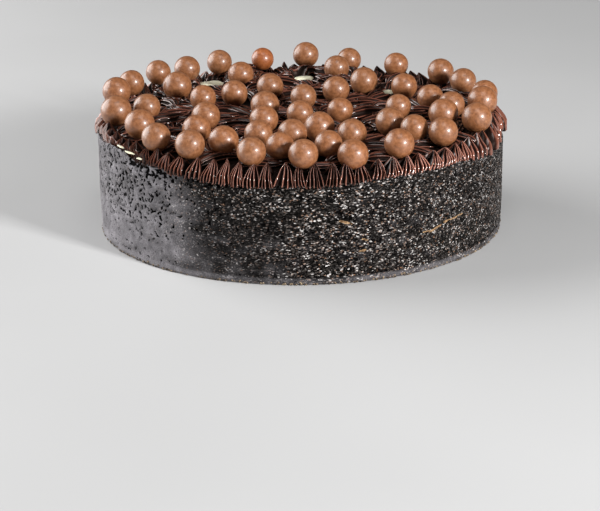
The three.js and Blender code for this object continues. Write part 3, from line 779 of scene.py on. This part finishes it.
def place_on_wall(across, down):
    """Where the sight line through a pixel meets the front of the wall"""
    line = sight_line(across, down)
    a = line.x ** 2 + line.y ** 2
    b = 2 * (VIEW_PLACE.x * line.x + VIEW_PLACE.y * line.y)
    c = VIEW_PLACE.x ** 2 + VIEW_PLACE.y ** 2 - CAKE_RADIUS ** 2
    depth = (-b - math.sqrt(b * b - 4 * a * c)) / (2 * a)
    return VIEW_PLACE + line * depth


def amber_places(points):
    """How much each point of the case lies in a crack that shows paler"""
    amount = np.zeros(len(points))
    wander = 0.55 * perlin(points, 2.5, 8)
    for start_pixel, end_pixel, width in CRACKS_SEEN:
        start = np.array(place_on_wall(*start_pixel))
        along = np.array(place_on_wall(*end_pixel)) - start
        part = np.clip((points - start) @ along / (along @ along), 0.0, 1.0)
        distance = np.linalg.norm(points - start - part[:, None] * along, axis=1)
        amount = np.maximum(amount, smoothstep(2.4 * width, 0.3 * width, distance + wander))
    return amount


def bare_places():
    """Middle, width and depth of each bare place, in mm"""
    places = []
    for across, down, width, depth in BARE_PLACES_SEEN:
        middle = place_at_height(across, down, float(filling_top(0.0)) + BARE_RISE)
        places.append((np.array(middle), width, depth))
    return places


BARE_PLACES = bare_places()


def bareness(points, margin=1.0):
    """From 0 to 1: how much each point lies over a bare place"""
    amount = np.zeros(len(points))
    ragged = 0.22 * perlin(points, 3.0, 11)
    for middle, width, depth in BARE_PLACES:
        across = (points[:, 0] - middle[0]) / (width / 2 * margin)
        along = (points[:, 1] - middle[1]) / (depth / 2 * margin)
        amount = np.maximum(amount, smoothstep(1.15, 0.85, np.hypot(across, along) + ragged))
    return amount


def dipped_at_bare_places(points):
    """The ganache dips down towards the near side of each bare place"""
    lip = float(filling_top(0.0)) + BARE_SWELL - BARE_LIP
    for middle, width, depth in BARE_PLACES:
        near = middle[1] - 0.4 * depth - points[:, 1]
        across = np.abs(points[:, 0] - middle[0]) / (width / 2)
        level = lip + BARE_SLOPE * np.maximum(near, 0.0)
        level += BARE_WALL * smoothstep(0.8, 1.9, across)
        level += BARE_WALL * smoothstep(-0.8, -1.3, near / depth)
        dips = (points[:, 2] > level) & (near < BARE_VIEW) & (near > -1.4 * depth)
        points[dips, 2] = level[dips]
    return points


def rim_smears(first):
    """Flat lumps of filling that were squeezed out over the rim, with their faces"""
    unit, faces = balls_of_mesh(3, len(SMEARS_SEEN), first)
    points = []
    for index, (across, down, length) in enumerate(SMEARS_SEEN):
        place = place_on_wall(across, down)
        turn = math.atan2(place.y, place.x)
        radial = round_points(1.0, turn, 0.0)
        tangent = np.array((-math.sin(turn), math.cos(turn), 0.0))
        lump = unit * (1.0 + 0.45 * perlin(unit, 0.6, index + 80))[:, None]
        bend = 0.5 * (length / 2 * lump[:, 0]) ** 2 / CAKE_RADIUS
        shape = np.outer(length / 2 * lump[:, 0], tangent)
        shape += np.outer(SMEAR_HALF_WIDTH * lump[:, 1] - bend, radial)
        shape[:, 2] += SMEAR_THICKNESS * lump[:, 2]
        level = CAKE_HEIGHT + rim_fit_at(math.degrees(turn))[3] + 0.1
        level = max(level, min(place.z, level + SMEAR_CLIMB))
        points.append(radial * (CAKE_RADIUS - SMEAR_HALF_WIDTH) + (0, 0, level) + shape)
    return np.concatenate(points), faces


def cheesecake(material):
    """The filling, with an uneven top that swells a little in the bare places"""
    turns = np.linspace(-math.pi, math.pi, FILLING_STEPS, endpoint=False)
    radius = np.repeat(FILLING_RADIUS * np.linspace(1.0, 0.02, FILLING_RINGS), FILLING_STEPS)
    top = round_points(radius, np.tile(turns, FILLING_RINGS), filling_top(radius))
    top[:, 2] += 0.25 * perlin(top, 9.0, 21) + BARE_SWELL * bareness(top, 1.25)
    foot = BASE_THICKNESS + GAP
    points = np.vstack([
        round_points(FILLING_RADIUS, turns, foot),
        round_points(FILLING_RADIUS, turns, CAKE_HEIGHT - FILLING_EDGE),
        top, (0, 0, foot), (0, 0, filling_top(0)),
    ])
    smears, smear_faces = rim_smears(len(points))
    points = np.vstack([points, smears])
    faces = closed_rings(FILLING_RINGS + 2, FILLING_STEPS) + smear_faces
    new_piece("cheesecake_body", points, faces, material, "cheesecake", ["cheesecake_filling"])


def rim_fit_at(degrees):
    """The reach, hang, lean and rise at an angle, eased between two rows of RIM_FIT"""
    angle = (degrees + 180) % 360 - 180
    before = max(i for i, row in enumerate(RIM_FIT) if row[0] <= angle)
    start = RIM_FIT[before]
    end = RIM_FIT[(before + 1) % len(RIM_FIT)]
    end_angle = end[0] if end[0] > start[0] else end[0] + 360
    part = float(smoothstep(start[0], end_angle, angle))
    return [low + (high - low) * part for low, high in zip(start[1:], end[1:])]


def shell_starts():
    """Where each border shell starts, in degrees: uneven, as squeezed by hand"""
    widths = [1 + SHELL_WIDTH_SPREAD * (2 * scatter(i + 300) - 1) for i in range(SHELL_COUNT)]
    return -180 + 360 * np.concatenate([[0.0], np.cumsum(widths)]) / sum(widths)


def ridge_section(ridges, gap_steps, seed, roundness=SHELL_ROUNDNESS):
    """Places across a ridged section from -1 to 1, and how far each is below the crests.
    A low roundness gives sharp crests with wide valleys, a high one gives round crests."""
    jitter = [RIDGE_JITTER * (scatter(seed + i) - 0.5) for i in range(ridges)]
    crests = [2 * (i + 0.5 + jitter[i]) / ridges - 1 for i in range(ridges)]
    marks = [-1.0, *crests, 1.0]
    places, depths = [], []
    for i in range(len(marks) - 1):
        is_edge = i in (0, len(marks) - 2)
        steps = gap_steps // 2 if is_edge else gap_steps
        for step in range(steps):
            part = step / steps
            places.append(marks[i] + (marks[i + 1] - marks[i]) * part)
            if i == 0:
                part = (1 + part) / 2
            elif is_edge:
                part = part / 2
            depths.append(max(0.0, math.sin(math.pi * part)) ** roundness)
    return np.array([*places, 1.0]), np.array([*depths, 1.0])


def eased_rows(rows, count):
    """A smooth curve of the given number of rows through the control rows"""
    rows = np.asarray(rows, float)
    padded = np.vstack([2 * rows[0] - rows[1], rows, 2 * rows[-1] - rows[-2]])
    result = []
    for place in np.linspace(0, len(rows) - 1, count):
        i = min(int(place), len(rows) - 2)
        t = place - i
        a, b, c, d = padded[i:i + 4]
        result.append(0.5 * (2 * b + (c - a) * t + (2 * a - 5 * b + 4 * c - d) * t * t
                             + (3 * b - a - 3 * c + d) * t ** 3))
    return np.array(result)


def shell_rows(shell, angle):
    """The profile of one shell, fitted to the rim where it stands: radius, height, half
    width, droop, ridge depth and lean"""
    reach, hang, lean, _ = rim_fit_at(angle)
    hang = hang + SHELL_HANG_SPREAD * (scatter(shell + 900) - 0.5)
    reach = reach + SHELL_REACH_SPREAD * (scatter(shell + 950) - 0.5)
    peak = SHELL_PEAK_SPREAD * (scatter(shell + 500) - 0.5)
    rows = []
    for radius, height, *form, reaches, hangs, peaks, leans in SHELL_PROFILE:
        height = height - hang * hangs + peak * peaks
        rows.append((radius + reach * reaches, height, *form, lean * leans))
    return eased_rows(rows, SHELL_ROWS)


def shell_grid(shell, angle, pitch, across, valley):
    """Points of one shell, row by row from its foot up to its peak and down inside; pitch
    is its width on the rim"""
    rows = shell_rows(shell, angle)
    rise, run = np.gradient(rows[:, 1]), np.gradient(rows[:, 0])
    slope = np.hypot(rise, run)
    normal_out, normal_up = (rise / slope)[:, None], (-run / slope)[:, None]
    radius, height, half_width, droop, depth, lean = [rows[:, i:i + 1] for i in range(6)]
    depth = depth * (1.0 + 0.2 * sharper_at(angle))
    half_width = half_width * pitch / SHELL_USUAL_WIDTH
    sink = droop * np.abs(across) ** 2.2 + depth * valley
    from_foot = np.linspace(0.0, 1.0, SHELL_ROWS)[:, None]
    twist = SHELL_TWIST * (scatter(shell + 1500) - 0.5) * np.sin(math.pi * from_foot)
    wiggle = wiggles(SHELL_ROWS, across, shell) * np.minimum(half_width / 4.0, 1.0)
    side = half_width * across + lean + twist + wiggle
    toes = [noise.noise(Vector((place * 2.3, shell * 1.7, 9.1))) for place in across]
    toe = TOE_SPREAD * np.array(toes) * smoothstep(0.4, 0.0, from_foot)
    out = radius - sink * normal_out
    up = CAKE_HEIGHT + GAP + height - sink * normal_up
    turn = math.radians(angle)
    return np.stack([
        out * math.cos(turn) - side * math.sin(turn),
        out * math.sin(turn) + side * math.cos(turn),
        up + toe,
    ], -1)


def sharper_at(angle):
    return float(smoothstep(*SHARPER_TURN, angle))


def border(material):
    """The border of shells: each a fan of sharp ridges from its foot up to its peak"""
    starts = shell_starts()
    shells = []
    for shell in range(SHELL_COUNT):
        angle = (starts[shell] + starts[shell + 1]) / 2
        pitch = math.radians(starts[shell + 1] - starts[shell]) * CAKE_RADIUS
        leafy = float(smoothstep(*LEAFY_FRONT, angle) * smoothstep(*LEAFY_BACK, angle))
        sharper = sharper_at(angle)
        ridges = round(4.4 + 1.2 * scatter(shell + 1300) - 3.4 * leafy)
        gap_steps = SHELL_GAP_STEPS + 2 * round(3 * leafy)
        roundness = SHELL_ROUNDNESS + 0.6 * leafy - 0.22 * sharper
        across, valley = ridge_section(ridges, gap_steps, 20 * shell, roundness)
        inside = round_points(SHELL_INSIDE[0], math.radians(angle), CAKE_HEIGHT + SHELL_INSIDE[1])
        # Painted shade: the ridges of the leafy and the sharper shells are painted darker
        shade = 1.0 - 0.13 * leafy - 0.08 * sharper
        grid = shell_grid(shell, angle, pitch, across, valley)
        shells.append((grid, inside, shade * crest_share(valley)))
    points, faces, crest = joined(shells)
    points = kept_in_box(pushed_out_of_balls(points))
    new_piece("ganache_border", points, faces, material, "ganache", ["piped_ganache"], crest=crest)


def crest_share(valley):
    """From 0 in a valley to 1 on a ridge's crest"""
    return np.clip(1.2 - 1.15 * valley, 0.0, 1.0)


def joined(patches):
    """Points, faces and crests of patches: each is a grid of points, the point that closes
    it on the inside, and the crest share of its columns"""
    points, faces, crest = [], [], []
    first = 0
    for grid, inside, share in patches:
        rows, columns, _ = grid.shape
        points += [grid.reshape(-1, 3), inside[None, :]]
        crest += [np.tile(share, rows), np.zeros(1)]
        faces += closed_patch(rows, columns, first)
        first += rows * columns + 1
    return np.concatenate(points), faces, np.concatenate(crest)


def wiggles(rows, across, seed):
    """Sideways waves of the ridges, in mm"""
    return RIDGE_WIGGLE * np.array([
        [noise.noise(Vector((u * 1.6, 4.2 * row / rows, seed * 3.7))) for u in across]
        for row in range(rows)
    ])


def seen_strokes():
    """The strokes that are seen, placed in plan, with their sizes in mm"""
    strokes = []
    for across, down, degrees, length, width, height, bend in STROKES_SEEN:
        middle = place_at_height(across, down, float(spread_top(0.0)) + height / 2)
        reach = math.hypot(middle.x, middle.y)
        if reach > STROKE_REACH:
            middle = middle * (STROKE_REACH / reach)
        seen = math.radians(degrees)
        strokes.append({
            "middle": np.array((middle.x, middle.y)),
            "heading": math.atan2(HEADING_STRETCH * math.sin(seen), math.cos(seen)),
            "length": length, "width": width * SEEN_NARROWING, "height": SEEN_RISE * height,
            "bend": bend,
        })
    return strokes


def filler_strokes(taken):
    """Strokes where none is seen, spread like the seeds of a sunflower"""
    golden_turn = math.pi * (3 - math.sqrt(5))
    strokes = []
    for i in range(FILLER_COUNT):
        radius = FILLER_RADIUS * math.sqrt((i + 0.5) / FILLER_COUNT)
        turn = i * golden_turn
        middle = np.array((radius * math.cos(turn), radius * math.sin(turn)))
        if min(np.hypot(*(middle - other)) for other in taken) < FILLER_SPACING:
            continue
        flow = noise.noise(Vector((middle[0] / 30, middle[1] / 30, 2.5)))
        rise = BACK_RISE if middle[1] > BACK_FROM else 1.0
        strokes.append({
            "middle": middle,
            "heading": math.pi / 2 + 5.5 * flow + 1.4 * (scatter(i + 40) - 0.5),
            "length": 18 + 11 * scatter(i + 140),
            "width": 8.5 + 3.5 * scatter(i + 240),
            "height": (3.6 + 3.6 * scatter(i + 340)) * rise,
            "bend": 9 * (scatter(i + 440) - 0.5),
        })
    return strokes


def heading_axis(stroke):
    return np.array((math.cos(stroke["heading"]), math.sin(stroke["heading"])))


def stroke_grid(stroke, across, valley, seed):
    """Points of a piped rope: it starts round, bends, and tails off to a lifted tip"""
    along = heading_axis(stroke)
    aside = np.array((-along[1], along[0]))
    part = (1 - np.cos(np.linspace(0.03, 1.0, STROKE_STATIONS) * math.pi)) / 2
    round_ends = np.sqrt(np.clip(1 - np.abs(2 * part - 1) ** 2.4, 0.0, 1.0))
    swell = round_ends * (1.06 - 0.3 * part) + 0.03
    waves = STROKE_WAVE * np.sin(2 * math.pi * (1.5 * part + scatter(seed))) * scatter(seed + 1)
    centre = stroke["middle"] + np.outer((part - 0.5) * stroke["length"], along)
    centre += np.outer(stroke["bend"] * (1 - (2 * part - 1) ** 2) + waves, aside)
    turn = (1 - across) * math.pi / 2
    depth = STROKE_RIDGE_DEPTH * np.minimum(swell * 1.3, 1.0)[:, None] * valley
    half = (stroke["width"] / 2 * swell)[:, None]
    tip = STROKE_TIP_LIFT * np.maximum(part - 0.7, 0)
    tall = (stroke["height"] * swell ** 0.7 + tip)[:, None]
    side = (half - depth) * np.cos(turn) + wiggles(STROKE_STATIONS, across, seed + 11) * half / 5
    rise = (tall - depth) * np.abs(np.sin(turn)) ** 0.8
    flat = centre[:, None] + side[..., None] * aside
    level = spread_top(np.hypot(flat[..., 0], flat[..., 1])) - STROKE_SINK + rise
    return np.dstack([flat, level])


def strokes(material):
    """The piped ropes over the top, with the ridges that the star nozzle leaves"""
    seen = seen_strokes()
    taken = [stroke["middle"] for stroke in seen]
    for stroke in seen:
        reach = 0.3 * stroke["length"] * heading_axis(stroke)
        taken += [stroke["middle"] - reach, stroke["middle"] + reach]
    taken += [middle[:2] for middle, _, _ in BARE_PLACES]
    ropes = []
    for index, stroke in enumerate([*seen, *filler_strokes(taken)]):
        across, valley = ridge_section(STROKE_RIDGES, STROKE_GAP_STEPS, 30 * index + 5000)
        grid = stroke_grid(stroke, across, valley, index)
        inside = grid[STROKE_STATIONS // 2, len(across) // 2] - (0, 0, stroke["height"])
        ropes.append((grid, inside, STROKE_CREST_LIGHT * crest_share(valley)))
    points, faces, crest = joined(ropes)
    points = pushed_out_of_balls(dipped_at_bare_places(points))
    new_piece("ganache_strokes", points, faces, material, "ganache", ["piped_ganache"], crest=crest)


def spread_ridges(points):
    """Wavy ridges that the strokes under the others leave: from 0 between them to 1"""
    bends = 7.0 * perlin(points, 19.0, 33) + 2.2 * perlin(points, 7.0, 34)
    turned = perlin(points, 40.0, 35) * math.pi
    across = points[:, 0] * np.cos(turned) + points[:, 1] * np.sin(turned) + bends
    return 1.0 - np.abs(np.sin(math.pi * across / SPREAD_RIDGE_WIDTH)) ** 0.8


def spread(material):
    """The layer under the strokes, open at the bare places"""
    turns = np.linspace(-math.pi, math.pi, SPREAD_STEPS, endpoint=False)
    radius = np.repeat(SPREAD_RADIUS * np.linspace(1.0, 0.01, SPREAD_RINGS), SPREAD_STEPS)
    thinned = smoothstep(SPREAD_SLOPES_FROM, SPREAD_RADIUS, radius)
    height = (spread_top(radius) - SPREAD_SINK) * (1 - thinned)
    height += (CAKE_HEIGHT + GAP + 0.2) * thinned
    top = round_points(radius, np.tile(turns, SPREAD_RINGS), height)
    ridges = spread_ridges(top)
    relief = SPREAD_UNEVENNESS * perlin(top, 8.0, 31) + SPREAD_RIDGE_HEIGHT * ridges
    top[:, 2] += (1 - thinned) * relief
    top = pushed_out_of_balls(dipped_at_bare_places(top))
    top[:, 2] = np.where(bareness(top) > 0.3, filling_top(0.0) - SPREAD_SINK, top[:, 2])

    # The foot goes down with the rim where that is sunk, and so hides the filling's edge
    sunk = np.array([min(rim_fit_at(angle)[3], 0.0) for angle in np.degrees(turns)])
    foot_height = CAKE_HEIGHT - SPREAD_FOOT_DROP
    foot = round_points(FILLING_RADIUS + GAP / 2, turns, foot_height + sunk)
    points = np.vstack([foot, top, (0, 0, foot_height), (0, 0, spread_top(0) - SPREAD_SINK)])
    faces = closed_rings(SPREAD_RINGS + 1, SPREAD_STEPS)
    crest = SPREAD_CREST_LIGHT * ridges * (1 - thinned)
    crest = np.concatenate([np.zeros(SPREAD_STEPS), crest, np.zeros(2)])
    new_piece("ganache_spread", points, faces, material, "ganache", ["piped_ganache"], crest=crest)


def foot_crumbs(material):
    """Loose crumbs that cling round the foot"""
    unit, faces = balls_of_mesh(2, FOOT_CRUMBS)
    points = []
    for index in range(FOOT_CRUMBS):
        turn = 2 * math.pi * scatter(index + 2000)
        size = 0.26 + 0.55 * scatter(index + 2500) ** 2
        lump = unit * (size * (1.0 + 0.5 * perlin(unit, 0.8, index)))[:, None]
        radius = CAKE_RADIUS - FOOT_TUCK - 0.6 + 0.5 * scatter(index + 3000)
        height = size + 1.5 * scatter(index + 3500) ** 2
        lump[:, 2] = np.maximum(lump[:, 2] * 0.8, -size)
        points.append(lump + round_points(radius, turn, height))
    points = kept_in_box(np.concatenate(points))
    new_piece("foot_crumbs", points, faces, material, "crumb", ["crumb_case"])


# ---- stage

def floor():
    size = FLOOR_HALF_SIZE
    mesh = bpy.data.meshes.new("floor")
    corners = [(-size, -size, 0), (size, -size, 0), (size, size, 0), (-size, size, 0)]
    mesh.from_pydata(corners, [], [(0, 1, 2, 3)])
    mesh.materials.append(floor_material())
    plane = new_object("floor", mesh)


def area_light(name, direction, distance, width, height, power):
    """A soft box that faces the cake from the given direction; sizes in metres"""
    data = bpy.data.lights.new(name, "AREA")
    data.shape = "RECTANGLE"
    data.size, data.size_y = width, height
    data.energy = power
    light = new_object(name, data)
    target = Vector((0, 0, CAKE_HEIGHT * MM))
    light.location = target + Vector(direction).normalized() * distance
    light.rotation_mode = "QUATERNION"
    light.rotation_quaternion = (target - light.location).to_track_quat("-Z", "Y")


def studio():
    for light in LIGHTS:
        area_light(*light)
    world = bpy.data.worlds.new("studio")
    world.use_nodes = True
    sky = world.node_tree.nodes["Background"]
    sky.inputs["Color"].default_value = (1.0, 0.98, 0.96, 1.0)
    sky.inputs["Strength"].default_value = 0.05
    bpy.context.scene.world = world
    bpy.context.scene.view_settings.view_transform = "Standard"


def camera():
    """The camera of the view that the places were read in"""
    data = bpy.data.cameras.new("camera")
    data.sensor_width = SENSOR_WIDTH
    data.lens = VIEW_FOCAL / VIEW_WIDTH * SENSOR_WIDTH
    data.shift_x = (VIEW_WIDTH / 2 - VIEW_CENTRE) / VIEW_WIDTH
    data.clip_start, data.clip_end = 0.05, 20.0
    eye = new_object("camera", data)
    right, up, forward = view_axes()
    turn = Matrix((right, up, -forward)).transposed().to_4x4()
    eye.matrix_world = Matrix.Translation(VIEW_PLACE * MM) @ turn
    bpy.context.scene.camera = eye


def build():
    camera()
    studio()
    floor()
    crumb_case(crumb_material())
    foot_crumbs(loose_crumb_material())
    cheesecake(cheesecake_material())
    ganache = ganache_material()
    spread(ganache)
    strokes(ganache)
    border(ganache)
    malt_balls(ball_material())


build()
